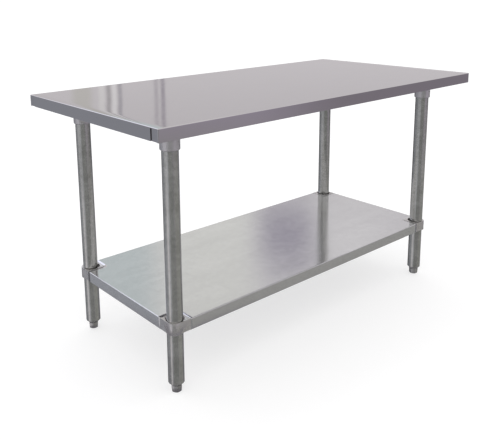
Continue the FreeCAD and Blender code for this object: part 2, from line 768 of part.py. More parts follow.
def check_table():
    """Stop if any object failed or any piece is not a sound solid."""
    for thing in document.Objects:
        if "Invalid" in thing.State or "Error" in thing.State:
            raise RuntimeError(f"{thing.Label} failed: {thing.State}")
    for piece in nodes:
        if piece.Shape.isNull() or not piece.Shape.isValid() or not piece.Shape.Solids:
            raise RuntimeError(f"{piece.Label} is not a sound shape")


def write_parts():
    """Write one STEP file for each piece."""
    os.makedirs("parts", exist_ok=True)
    for piece in nodes:
        piece.Shape.exportStep(f"parts/{piece.Label}.step")
        print(f"{piece.Label}: {len(piece.Shape.Solids)} solid(s), "
              f"{piece.Shape.Volume / 1000:.1f} cm3")


make_sheet()
make_table()
document.recompute()
check_table()
write_parts()
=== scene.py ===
"""A stainless work table on galvanised legs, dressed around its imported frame.

Every length is in metres, in the frame of the design: the origin is on the floor under
the middle of the top, X runs along the table, -Y is its front and Z is up.
"""
import logging
import math
from dataclasses import dataclass, field
from enum import Enum
from typing import Callable, Iterable, Optional, Sequence, Union

import bmesh
import bpy
from mathutils import Matrix, Vector, noise


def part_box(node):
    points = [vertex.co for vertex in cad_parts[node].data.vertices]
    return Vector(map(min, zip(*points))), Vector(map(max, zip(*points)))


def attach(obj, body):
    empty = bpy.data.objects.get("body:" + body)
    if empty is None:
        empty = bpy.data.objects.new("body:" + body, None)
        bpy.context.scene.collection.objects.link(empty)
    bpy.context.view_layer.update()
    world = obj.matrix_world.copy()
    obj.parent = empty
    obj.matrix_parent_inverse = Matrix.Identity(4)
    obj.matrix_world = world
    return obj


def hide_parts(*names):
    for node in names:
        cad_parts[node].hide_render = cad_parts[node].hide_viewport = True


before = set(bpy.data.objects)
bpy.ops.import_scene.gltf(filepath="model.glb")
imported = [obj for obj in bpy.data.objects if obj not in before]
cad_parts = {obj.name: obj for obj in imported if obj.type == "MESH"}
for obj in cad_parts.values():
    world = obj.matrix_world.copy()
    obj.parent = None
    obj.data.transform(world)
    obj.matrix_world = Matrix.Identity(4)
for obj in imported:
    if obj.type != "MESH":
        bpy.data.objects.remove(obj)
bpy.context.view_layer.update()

log = logging.getLogger("work_table")

MILLIMETRE = 0.001
FULL_TURN = 2 * math.pi
SAME = 1e-6
CLOSE = 1e-5
UP = Vector((0, 0, 1))

Number = Union[int, float]
Colour = tuple[float, float, float]


class Corner(Enum):
    """A corner of the table: its name, sides along X and Y, and quarter turn in degrees."""

    FRONT_LEFT = ("front_left", -1, -1, 0)
    FRONT_RIGHT = ("front_right", 1, -1, 90)
    REAR_RIGHT = ("rear_right", 1, 1, 180)
    REAR_LEFT = ("rear_left", -1, 1, 270)

    @property
    def label(self) -> str:
        """The corner's name as node names spell it."""
        return self.value[0]

    @property
    def axis(self) -> Vector:
        """The foot of the leg's axis, on the floor."""
        low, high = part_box(f"leg_{self.label}")
        return Vector(((low.x + high.x) / 2, (low.y + high.y) / 2, 0))

    @property
    def turn(self) -> Matrix:
        """The turn about the vertical that takes a front-left piece to this corner."""
        return Matrix.Rotation(math.radians(self.value[3]), 4, "Z")


class Body(Enum):
    """The bodies of the frame that pieces ride on."""

    FRAME = "frame"
    SHELF = "shelf"


# --------------------------------------------------------------------------- shader maths


class Field:
    """A node socket that can be used in arithmetic."""

    def __init__(self, graph: "Graph", socket: bpy.types.NodeSocket) -> None:
        """Wrap a socket.

        Args:
            graph: The graph that the socket belongs to.
            socket: The output socket.
        """
        self.graph = graph
        self.socket = socket

    def _math(self, operation: str, *values: Union["Field", Number]) -> "Field":
        """One Math node over some values."""
        return self.graph.node("ShaderNodeMath", {"operation": operation}, list(values))

    def __add__(self, other: Union["Field", Number]) -> "Field":
        """Sum."""
        return self._math("ADD", self, other)

    def __radd__(self, other: Union["Field", Number]) -> "Field":
        """Sum, reflected."""
        return self._math("ADD", other, self)

    def __sub__(self, other: Union["Field", Number]) -> "Field":
        """Difference."""
        return self._math("SUBTRACT", self, other)

    def __rsub__(self, other: Union["Field", Number]) -> "Field":
        """Difference, reflected."""
        return self._math("SUBTRACT", other, self)

    def __mul__(self, other: Union["Field", Number]) -> "Field":
        """Product."""
        return self._math("MULTIPLY", self, other)

    def __rmul__(self, other: Union["Field", Number]) -> "Field":
        """Product, reflected."""
        return self._math("MULTIPLY", other, self)

    def __pow__(self, other: Union["Field", Number]) -> "Field":
        """Power."""
        return self._math("POWER", self, other)

    def __abs__(self) -> "Field":
        """Size without sign."""
        return self._math("ABSOLUTE", self)

    def arcsine(self) -> "Field":
        """The angle, in radians, whose sine this is."""
        return self._math("ARCSINE", self)

    def arctan(self, other: "Field") -> "Field":
        """The angle, in radians, whose tangent is this over the other."""
        return self._math("ARCTAN2", self, other)

    def wrap(self, low: Number, high: Number) -> "Field":
        """This value brought round into a range."""
        return self._math("WRAP", self, high, low)

    def part(self, name: str) -> "Field":
        """Another output of the same node."""
        return Field(self.graph, self.socket.node.outputs[name])

    def band(self, low: Number, high: Number, start: Number = 0.0, end: Number = 1.0) -> "Field":
        """This value eased from one range into another.

        Args:
            low: Value that gives the start.
            high: Value that gives the end.
            start: Result at and below the low value.
            end: Result at and above the high value.

        Returns:
            The eased value.
        """
        return self.graph.node(
            "ShaderNodeMapRange",
            {"interpolation_type": "SMOOTHSTEP"},
            {"Value": self, "From Min": low, "From Max": high, "To Min": start, "To Max": end},
        )


class Graph:
    """The node graph of one material, or of the surround."""

    def __init__(self, name: str, surround: bool = False) -> None:
        """Start an empty graph.

        Args:
            name: The name of the material or surround.
            surround: Whether the graph is of a surround.
        """
        self.owner = bpy.data.worlds.new(name) if surround else bpy.data.materials.new(name)
        self.owner.use_nodes = True
        self.tree = self.owner.node_tree
        self.tree.nodes.clear()

    def node(
        self,
        kind: str,
        settings: Optional[dict] = None,
        inputs: Union[dict, Sequence, None] = None,
        output: Union[int, str, None] = 0,
    ) -> Optional[Field]:
        """Add a node.

        Args:
            kind: The node's type name.
            settings: Its properties, set first.
            inputs: Values or fields for its sockets, by name or in order.
            output: The output to return, or None for a node without one.

        Returns:
            That output.
        """
        made = self.tree.nodes.new(kind)
        for key, value in (settings or {}).items():
            setattr(made, key, value)
        pairs = inputs.items() if isinstance(inputs, dict) else enumerate(inputs or [])
        for key, value in pairs:
            self._feed(made.inputs[key], value)
        return None if output is None else Field(self, made.outputs[output])

    def _feed(self, socket: bpy.types.NodeSocket, value: object) -> None:
        """Link a field to a socket, or set the socket's own value."""
        if isinstance(value, Field):
            self.tree.links.new(value.socket, socket)
        elif isinstance(value, tuple) and len(value) == 3 and socket.type == "RGBA":
            socket.default_value = (*value, 1)
        else:
            socket.default_value = value

    def place(self, scale: Sequence[float] = (1, 1, 1), offset: Sequence[float] = (0, 0, 0)) -> Field:
        """Object coordinates, scaled and shifted."""
        spot = self.node("ShaderNodeTexCoord", output="Object")
        return self.node("ShaderNodeMapping", None,
                         {"Vector": spot, "Location": tuple(offset), "Scale": tuple(scale)})

    def noise(self, where: Field, scale: float, detail: float = 3.0, rough: float = 0.5) -> Field:
        """Smooth random grey over some coordinates."""
        return self.node("ShaderNodeTexNoise", None,
                         {"Vector": where, "Scale": scale, "Detail": detail, "Roughness": rough})

    def cells(self, where: Field, scale: float, spread: float = 1.0) -> Field:
        """Random grey that is even within each crystal-like cell."""
        colour = self.node("ShaderNodeTexVoronoi", None,
                           {"Vector": where, "Scale": scale, "Randomness": spread}, "Color")
        return self.node("ShaderNodeSeparateColor", None, [colour])

    def tint(self, dark: Union[Colour, Field], light: Union[Colour, Field], amount: Field) -> Field:
        """A colour between two, by a grey amount."""
        return self.node("ShaderNodeMix", {"data_type": "RGBA", "clamp_factor": True},
                         {"Factor": amount, 6: dark, 7: light}, 2)

    def surface(
        self, bump: Optional[tuple[Field, float, float]] = None, **sockets: object
    ) -> bpy.types.Material:
        """Finish the material with one shader.

        Args:
            bump: A height field, its strength and its distance in metres.
            sockets: Values or fields of the shader's sockets, with underscores for spaces.

        Returns:
            The finished material.
        """
        shader = self.tree.nodes.new("ShaderNodeBsdfPrincipled")
        for name, value in sockets.items():
            self._feed(shader.inputs[name.replace("_", " ")], value)
        if bump:
            height, strength, distance = bump
            bent = self.node("ShaderNodeBump", None,
                             {"Height": height, "Strength": strength, "Distance": distance})
            self._feed(shader.inputs["Normal"], bent)
        self.node("ShaderNodeOutputMaterial", None, {"Surface": Field(self, shader.outputs["BSDF"])},
                  output=None)
        return self.owner


# ------------------------------------------------------------------------------- finishes


@dataclass(frozen=True)
class Stainless:
    """Satin stainless sheet with a fine grain along the table, smudges and hairline scratches."""

    name: str = "satin_stainless"
    dark: Colour = (0.53, 0.52, 0.525)
    light: Colour = (0.58, 0.57, 0.575)
    smooth: float = 0.03
    dull: float = 0.08
    grain_per_metre: float = 900.0
    grain_stretch: float = 0.01
    smudge_per_metre: float = 7.0

    def material(self) -> bpy.types.Material:
        """Build the material.

        Returns:
            The material.
        """
        graph = Graph(self.name)
        along = (self.grain_stretch, 1, 1)
        grain = graph.noise(graph.place(along), self.grain_per_metre, 2)
        smudge = graph.noise(graph.place((1, 0.6, 1)), self.smudge_per_metre, 5, 0.6)
        scratch = graph.noise(graph.place((0.15, 2.5, 1), (0.3, 0.1, 0)), 160, 1).band(0.66, 0.72)
        streak = graph.noise(graph.place((0.35, 1, 1)), 24, 3)
        roughness = smudge.band(0.3, 0.75, self.smooth, self.dull) + grain * 0.02 + scratch * 0.06
        colour = graph.tint(self.dark, self.light, smudge * 0.5 + streak * 0.4 + grain * 0.1)
        return graph.surface(
            bump=(grain * 0.6 + scratch * 0.4, 0.08, 0.0001),
            Base_Color=colour, Metallic=1.0, Roughness=roughness,
        )


@dataclass(frozen=True)
class Galvanised:
    """Hot-dip zinc: crystal spangle, cloudy patches, runs along one direction and dark specks."""

    name: str
    dark: Colour
    light: Colour
    smooth: float
    dull: float
    spangle_per_metre: float
    cloud_per_metre: float
    run_stretch: tuple[float, float, float]
    crystal: float = 0.14
    speck_level: float = 0.72
    relief: float = 0.00006

    def material(self) -> bpy.types.Material:
        """Build the material.

        Returns:
            The material.
        """
        graph = Graph(self.name)
        spot = graph.place()
        warp = graph.noise(spot, self.spangle_per_metre * 0.5, 2)
        spangle = graph.cells(graph.place(), self.spangle_per_metre)
        fine = graph.cells(graph.place((1, 1, 1), (0.2, 0.4, 0.1)), self.spangle_per_metre * 2.3)
        cloud = graph.noise(graph.place((1, 1, 1), (0.7, 0.2, 0.5)), self.cloud_per_metre, 4, 0.6)
        runs = graph.noise(graph.place(self.run_stretch), self.cloud_per_metre * 4, 3)
        speck = graph.noise(spot, self.spangle_per_metre * 4, 2).band(self.speck_level,
                                                                      self.speck_level + 0.05)
        clear = 1 - 1.5 * self.crystal
        mottle = (spangle * self.crystal + fine * (self.crystal / 2) + cloud * (clear * 0.55)
                  + runs * (clear * 0.45) + (warp - 0.5) * 0.15)
        tone = mottle.band(0.25, 0.75) * (1 - speck * 0.4)
        roughness = (spangle * 0.35 + cloud * 0.65).band(0.2, 0.8, self.smooth, self.dull)
        return graph.surface(
            bump=(spangle * 0.3 + warp * 0.4 + fine * 0.3, 0.35, self.relief),
            Base_Color=graph.tint(self.dark, self.light, tone), Metallic=0.9, Roughness=roughness,
        )


@dataclass(frozen=True)
class Grainy:
    """A plain finish with fine grain and cloudy tone, for castings, plating and rubber."""

    name: str
    dark: Colour
    light: Colour
    metal: float
    smooth: float
    dull: float
    grain_per_metre: float
    relief: float

    def material(self) -> bpy.types.Material:
        """Build the material.

        Returns:
            The material.
        """
        graph = Graph(self.name)
        grain = graph.noise(graph.place(), self.grain_per_metre, 3)
        cloud = graph.noise(graph.place((1, 1, 1), (0.4, 0.1, 0.9)), self.grain_per_metre / 14, 3)
        tone = (cloud * 0.7 + grain * 0.3).band(0.3, 0.7)
        return graph.surface(
            bump=(grain, 0.4, self.relief),
            Base_Color=graph.tint(self.dark, self.light, tone), Metallic=self.metal,
            Roughness=cloud.band(0.3, 0.7, self.smooth, self.dull),
        )


class Finishes:
    """Every finish of the table, built once."""

    def __init__(self) -> None:
        """Build the materials."""
        self.stainless = Stainless().material()
        self.tube = Galvanised(
            "galvanised_tube", (0.36, 0.365, 0.345), (0.54, 0.545, 0.525), 0.12, 0.24, 110, 18,
            (1, 1, 0.05), 0.1,
        ).material()
        self.sheet = Galvanised(
            "galvanised_sheet", (0.575, 0.58, 0.58), (0.635, 0.64, 0.64), 0.125, 0.145, 60, 5,
            (0.1, 1, 1), relief=0.00001,
        ).material()
        self.channel = Galvanised(
            "galvanised_channel", (0.42, 0.43, 0.43), (0.60, 0.61, 0.61), 0.3, 0.48, 70, 8,
            (1, 1, 1), 0.28,
        ).material()
        self.socket = Grainy(
            "zinc_socket", (0.54, 0.53, 0.54), (0.62, 0.61, 0.62), 0.9, 0.28, 0.42, 500, 0.0001,
        ).material()
        self.casting = Grainy(
            "cast_bracket", (0.54, 0.53, 0.52), (0.64, 0.63, 0.62), 0.9, 0.22, 0.36, 450, 0.0001,
        ).material()
        self.foot = Grainy(
            "zinc_foot", (0.34, 0.34, 0.33), (0.52, 0.52, 0.51), 0.9, 0.18, 0.32, 500, 0.0001,
        ).material()
        self.plated = Grainy(
            "bright_zinc", (0.50, 0.50, 0.48), (0.66, 0.66, 0.64), 1.0, 0.2, 0.34, 900, 0.0001,
        ).material()
        self.rubber = Grainy(
            "damping_rubber", (0.02, 0.02, 0.02), (0.05, 0.05, 0.05), 0.0, 0.6, 0.85, 400, 0.0003,
        ).material()
        self.weld = Grainy(
            "weld_bead", (0.22, 0.21, 0.20), (0.46, 0.45, 0.43), 0.95, 0.28, 0.5, 450, 0.0005,
        ).material()


# -------------------------------------------------------------------------- mesh workshop


def scrap(name: str, mesh: bmesh.types.BMesh) -> bpy.types.Object:
    """Turn a bmesh into an object at the origin.

    Args:
        name: The object's name.
        mesh: The bmesh, freed here.

    Returns:
        The new object, linked to the scene.
    """
    data = bpy.data.meshes.new(name)
    mesh.to_mesh(data)
    mesh.free()
    made = bpy.data.objects.new(name, data)
    bpy.context.scene.collection.objects.link(made)
    return made


def piece(
    name: str,
    mesh: bmesh.types.BMesh,
    material: bpy.types.Material,
    body: str,
    stands_for: Iterable[str] = (),
    sharp_angle: float = 32.0,
) -> bpy.types.Object:
    """Finish a piece: shade it, dress it and let it ride on a body.

    Args:
        name: The piece's name.
        mesh: Its bmesh, in place.
        material: Its material.
        body: The body it rides on.
        stands_for: The nodes it replaces.
        sharp_angle: Edges that turn by more degrees than this stay sharp.

    Returns:
        The finished object.
    """
    made = scrap(name, mesh)
    made.data.polygons.foreach_set("use_smooth", [True] * len(made.data.polygons))
    made.data.set_sharp_from_angle(angle=math.radians(sharp_angle))
    made.data.materials.append(material)
    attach(made, body)
    if stands_for:
        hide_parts(*stands_for)
    log.info("%s: %d faces on %s", name, len(made.data.polygons), body)
    return made


def dress(node: str, material: bpy.types.Material) -> None:
    """Give a node of the design a better material.

    Args:
        node: The node's name.
        material: Its new material.
    """
    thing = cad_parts[node]
    for holder in thing.material_slots:
        holder.material = material
    log.info("%s: dressed with %s", node, material.name)


def lathe(profile: Sequence[tuple[float, float]], steps: int, closed: bool = True) -> bmesh.types.BMesh:
    """Spin a profile about the vertical.

    Args:
        profile: Radius and height of each point, in order.
        steps: Number of facets round the axis.
        closed: Whether the last point joins the first.

    Returns:
        The turned bmesh, its axis on the origin.
    """
    mesh = bmesh.new()
    points = [mesh.verts.new((radius, 0, height)) for radius, height in profile]
    ends = list(zip(points, points[1:]))
    if closed:
        ends.append((points[-1], points[0]))
    edges = [mesh.edges.new(pair) for pair in ends]
    bmesh.ops.spin(mesh, geom=points + edges, axis=UP, cent=(0, 0, 0), angle=FULL_TURN,
                   steps=steps, use_merge=True)
    bmesh.ops.remove_doubles(mesh, verts=mesh.verts, dist=SAME)
    bmesh.ops.recalc_face_normals(mesh, faces=mesh.faces)
    return mesh


def block(low: Vector, high: Vector) -> bmesh.types.BMesh:
    """A box between two corners.

    Args:
        low: Its lowest corner.
        high: Its highest corner.

    Returns:
        The box.
    """
    mesh = bmesh.new()
    bmesh.ops.create_cube(mesh, size=1)
    bmesh.ops.scale(mesh, vec=high - low, verts=mesh.verts)
    bmesh.ops.translate(mesh, vec=(low + high) / 2, verts=mesh.verts)
    return mesh


def cut_grid(mesh: bmesh.types.BMesh, axis: int, places: Iterable[float]) -> None:
    """Cut a bmesh by planes square to an axis.

    Args:
        mesh: The mesh to cut.
        axis: The axis, 0 to 2.
        places: Where along it the planes lie.
    """
    normal = Vector((0, 0, 0))
    normal[axis] = 1
    for place in places:
        geometry = mesh.verts[:] + mesh.edges[:] + mesh.faces[:]
        bmesh.ops.bisect_plane(mesh, geom=geometry, plane_co=normal * place, plane_no=normal, dist=SAME)


def steps_between(low: float, high: float, pitch: float) -> list[float]:
    """Evenly spaced places inside a stretch, its ends left out."""
    count = max(2, round((high - low) / pitch))
    return [low + (high - low) * step / count for step in range(1, count)]


def soften(mesh: bmesh.types.BMesh, width: float, angle: float = 40.0, segments: int = 2,
           within: Callable[[Vector], bool] = lambda place: True) -> None:
    """Round edges that turn by more than an angle.

    Args:
        mesh: The mesh to change.
        width: Width of the rounding.
        angle: The least turn, in degrees.
        segments: Faces across the rounding.
        within: Tells whether an edge with an end at a place is to be rounded.
    """
    limit = math.radians(angle)
    edges = [edge for edge in mesh.edges if edge.is_manifold and edge.calc_face_angle(0) > limit
             and all(within(vert.co) for vert in edge.verts)]
    bmesh.ops.bevel(mesh, geom=edges, offset=width, offset_type="OFFSET", segments=segments,
                    profile=0.5, affect="EDGES", clamp_overlap=True, material=-1)


def combine(base: bmesh.types.BMesh, tools: Sequence[tuple[bmesh.types.BMesh, str]]) -> bmesh.types.BMesh:
    """Join or cut solids.

    Args:
        base: The solid to start from.
        tools: Each further solid with UNION, DIFFERENCE or INTERSECT.

    Returns:
        A new bmesh of the result.
    """
    host = scrap("host", base)
    helpers = [scrap("helper", tool) for tool, _ in tools]
    for helper, (_, operation) in zip(helpers, tools):
        step = host.modifiers.new(operation.lower(), "BOOLEAN")
        step.operation = operation
        step.solver = "EXACT"
        step.object = helper
    result = bmesh.new()
    result.from_object(host, bpy.context.evaluated_depsgraph_get())
    for spent in [host, *helpers]:
        data = spent.data
        bpy.data.objects.remove(spent)
        bpy.data.meshes.remove(data)
    bmesh.ops.remove_doubles(result, verts=result.verts, dist=SAME)
    bmesh.ops.dissolve_limit(result, angle_limit=math.radians(1), verts=result.verts, edges=result.edges)
    return result


def move(mesh: bmesh.types.BMesh, matrix: Matrix) -> bmesh.types.BMesh:
    """Move a whole bmesh and hand it back."""
    bmesh.ops.transform(mesh, matrix=matrix, verts=mesh.verts)
    return mesh


def wall(thing: bpy.types.Object, thickness: float) -> None:
    """Give a sheet its thickness, inwards."""
    step = thing.modifiers.new("sheet", "SOLIDIFY")
    step.thickness = thickness
    step.offset = -1
    step.use_even_offset = True


# ------------------------------------------------------------------------ sub-assemblies


@dataclass
class WorkTop:
    """The stainless top: a sheet with its edges turned down, lipped under and lapped at the ends."""

    finishes: Finishes
    gauge: float = 1.5 * MILLIMETRE
    lip: float = 12.7 * MILLIMETRE
    corner: float = 3 * MILLIMETRE
    bend: float = 2 * MILLIMETRE
    lap: float = 34 * MILLIMETRE
    seam: float = 4 * MILLIMETRE
    seam_depth: float = 4.4 * MILLIMETRE
    tuck: float = 2.6 * MILLIMETRE
    joggle_start: float = 5 * MILLIMETRE
    joggle_end: float = 12 * MILLIMETRE
    step: float = 0.3 * MILLIMETRE
    cell: float = 30 * MILLIMETRE
    wave: float = 0.35 * MILLIMETRE
    wave_length: float = 0.42
    wave_slice: float = 0.37
    fade: float = 0.09
    hold_near: float = 1.5
    hold_far: float = 1.8
    fold_end: float = 1.6

    def build(self) -> None:
        """Make the top; the studs and nuts under it are dressed by UnderFrame."""
        low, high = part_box("top_sheet")
        mesh = self._shell(low, high)
        self._cut_cells(mesh, low, high)
        self._lap_ends(mesh, low, high)
        self._settle(mesh, low, high)
        top = piece("work_top", mesh, self.finishes.stainless, Body.FRAME.value,
                    ["top_sheet"])
        wall(top, self.gauge)

    def _shell(self, low: Vector, high: Vector) -> bmesh.types.BMesh:
        """The folded sheet without thickness: top, edges and lip.

        Args:
            low: The sheet's lowest corner.
            high: The sheet's highest corner.

        Returns:
            The folded sheet.
        """
        mesh = block(low, high)
        floor = [face for face in mesh.faces if face.normal.z < -0.5]
        bmesh.ops.delete(mesh, geom=floor, context="FACES_ONLY")
        posts = [edge for edge in mesh.edges if abs(edge.verts[0].co.z - edge.verts[1].co.z) > self.bend]
        bmesh.ops.bevel(mesh, geom=posts, offset=self.corner, segments=5, profile=0.5,
                        affect="EDGES", material=-1)
        rim = [edge for edge in mesh.edges
               if all(abs(vert.co.z - high.z) < SAME for vert in edge.verts)]
        bmesh.ops.bevel(mesh, geom=rim, offset=self.bend, segments=4, profile=0.5,
                        affect="EDGES", material=-1)
        mouth = [edge for edge in mesh.edges if edge.is_boundary]
        grown = bmesh.ops.extrude_edge_only(mesh, edges=mouth)["geom"]
        for vert in (item for item in grown if isinstance(item, bmesh.types.BMVert)):
            vert.co.x -= math.copysign(self.lip, vert.co.x)
            vert.co.y -= math.copysign(self.lip, vert.co.y)
        return mesh

    def _cut_cells(self, mesh: bmesh.types.BMesh, low: Vector, high: Vector) -> None:
        """Divide the sheet so that it can lie slightly uneven.

        Args:
            mesh: The folded sheet.
            low: Its lowest corner.
            high: Its highest corner.
        """
        cut_grid(mesh, 0, steps_between(low.x, high.x, self.cell))
        cut_grid(mesh, 1, steps_between(low.y, high.y, self.cell))
        for side in (-1, 1):
            cut_grid(mesh, 1, [side * (high.y - inset) for inset, _ in self._lap_profile()])
        cut_grid(mesh, 2, (high.z - self.hold_near * self.bend, high.z - self.hold_far * self.bend))

    def _lap_profile(self) -> list[tuple[float, float]]:
        """How deep an end's face lies at each distance from the corner.

        Returns:
            Distance and depth of each point, outermost first.
        """
        near, far = self.lap - self.seam / 2, self.lap + self.seam / 2
        return [(self.joggle_start, 0), (self.joggle_end, self.tuck), (near, self.tuck),
                (near + self.step, self.seam_depth), (far - self.step, self.seam_depth), (far, 0)]

    def _lap_ends(self, mesh: bmesh.types.BMesh, low: Vector, high: Vector) -> None:
        """Tuck the tabs that wrap round from front and back behind each end's face.

        Args:
            mesh: The folded sheet.
            low: Its lowest corner.
            high: Its highest corner.
        """
        profile = self._lap_profile()
        for vert in mesh.verts:
            on_end = min(abs(vert.co.x - low.x), abs(vert.co.x - high.x)) < CLOSE
            if not on_end or vert.co.z > high.z - self.fold_end * self.bend:
                continue
            inset = high.y - abs(vert.co.y)
            for (start, shallow), (stop, deep) in zip(profile, profile[1:]):
                if start - SAME <= inset <= stop + SAME:
                    share = (inset - start) / (stop - start)
                    vert.co.x -= math.copysign(shallow + (deep - shallow) * share, vert.co.x)
                    break

    def _settle(self, mesh: bmesh.types.BMesh, low: Vector, high: Vector) -> None:
        """Let the flat of the top lie slightly uneven, as sheet does between its folds.

        Args:
            mesh: The folded sheet.
            low: Its lowest corner.
            high: Its highest corner.
        """
        for vert in mesh.verts:
            if abs(vert.co.z - high.z) > CLOSE:
                continue
            edge = min(vert.co.x - low.x, high.x - vert.co.x, vert.co.y - low.y, high.y - vert.co.y)
            ease = min(1.0, max(0.0, edge / self.fade)) ** 2
            swell = noise.noise(Vector((vert.co.x, vert.co.y, self.wave_slice)) / self.wave_length)
            vert.co.z -= self.wave * ease * (0.5 + 0.5 * swell)


@dataclass
class UnderFrame:
    """What lies under the top: channels, damping strips, studs, socket plates and their bolts."""

    finishes: Finishes
    bead: float = 2.2 * MILLIMETRE
    bulge: float = 0.55
    drop: float = 0.6
    ripple: float = 0.35 * MILLIMETRE
    ripples: int = 30
    bead_steps: int = 96

    def build(self) -> None:
        """Dress the hidden nodes and lay the weld between each socket and its plate."""
        for node in ("cross_channel_left", "cross_channel_right", "centre_channel"):
            dress(node, self.finishes.channel)
        for side in ("left", "right", "centre"):
            dress(f"deadening_strips_{side}", self.finishes.rubber)
        for node in ("weld_studs", "stud_nuts", "plate_bolts", "plate_nuts"):
            dress(node, self.finishes.plated)
        for corner in Corner:
            dress(f"socket_plate_{corner.label}", self.finishes.channel)
            self._weld(corner)

    def _weld(self, corner: Corner) -> None:
        """A ring of rippled weld in the angle between a socket and its plate.

        Args:
            corner: The socket's corner of the table.
        """
        low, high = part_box(f"leg_socket_{corner.label}")
        radius = (high.x - low.x) / 2
        mesh = lathe([(radius - self.bead / 2, high.z), (radius + self.bead, high.z),
                      (radius + self.bead * self.bulge, high.z - self.bead * self.drop),
                      (radius, high.z - self.bead), (radius - self.bead / 2, high.z - self.bead / 2)],
                     self.bead_steps)
        for vert in mesh.verts:
            if vert.co.z < high.z - CLOSE:
                angle = math.atan2(vert.co.y, vert.co.x)
                vert.co.z -= self.ripple * (0.5 + 0.5 * math.sin(angle * self.ripples))
        move(mesh, Matrix.Translation(corner.axis))
        piece(f"socket_weld_{corner.label}", mesh, self.finishes.weld, Body.FRAME.value)


@dataclass
class Leg:
    """One leg: a welded tube, its socket and set screw, and the plug in its lower end."""

    finishes: Finishes
    corner: Corner
    wall: float = 1.6 * MILLIMETRE
    soft: float = 0.4 * MILLIMETRE
    ring_pitch: float = 0.1
    mouth_share: float = 0.67
    plug_fit: float = 0.15 * MILLIMETRE
    chamfer: float = 1 * MILLIMETRE
    stem_hole: float = 6.65 * MILLIMETRE
    steps: int = 96

    def build(self) -> None:
        """Make the tube and the plug, and dress the socket."""
        self._tube()
        self._plug()
        dress(f"leg_socket_{self.corner.label}", self.finishes.socket)

    def _tube(self) -> None:
        """The round tube with softened ends."""
        node = f"leg_{self.corner.label}"
        low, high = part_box(node)
        outside = (high.x - low.x) / 2
        inside = outside - self.wall
        soft = self.soft
        mesh = lathe([(inside, low.z + soft), (inside + soft, low.z), (outside - soft, low.z),
                      (outside, low.z + soft), (outside, high.z - soft), (outside - soft, high.z),
                      (inside + soft, high.z), (inside, high.z - soft)], self.steps)
        cut_grid(mesh, 2, steps_between(low.z, high.z, self.ring_pitch))
        move(mesh, Matrix.Translation(self.corner.axis))
        piece(f"tube_{self.corner.label}", mesh, self.finishes.tube, Body.FRAME.value,
              [node])

    def _plug(self) -> None:
        """The turned plug: cone below the tube, shank inside it, hole for the stem."""
        node = f"foot_insert_{self.corner.label}"
        low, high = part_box(node)
        tube_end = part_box(f"leg_{self.corner.label}")[0].z
        outside = (high.x - low.x) / 2
        mouth = outside * self.mouth_share
        shank = outside - self.wall - self.plug_fit
        chamfer = self.chamfer
        mesh = lathe([(self.stem_hole, low.z), (mouth - chamfer, low.z), (mouth, low.z + chamfer),
                      (outside - 2 * chamfer, tube_end - 2.5 * chamfer), (outside, tube_end - chamfer),
                      (outside, tube_end), (shank, tube_end), (shank, high.z - chamfer),
                      (shank - chamfer, high.z), (self.stem_hole, high.z)], self.steps)
        move(mesh, Matrix.Translation(self.corner.axis))
        piece(f"plug_{self.corner.label}", mesh, self.finishes.foot, Body.FRAME.value,
              [node])


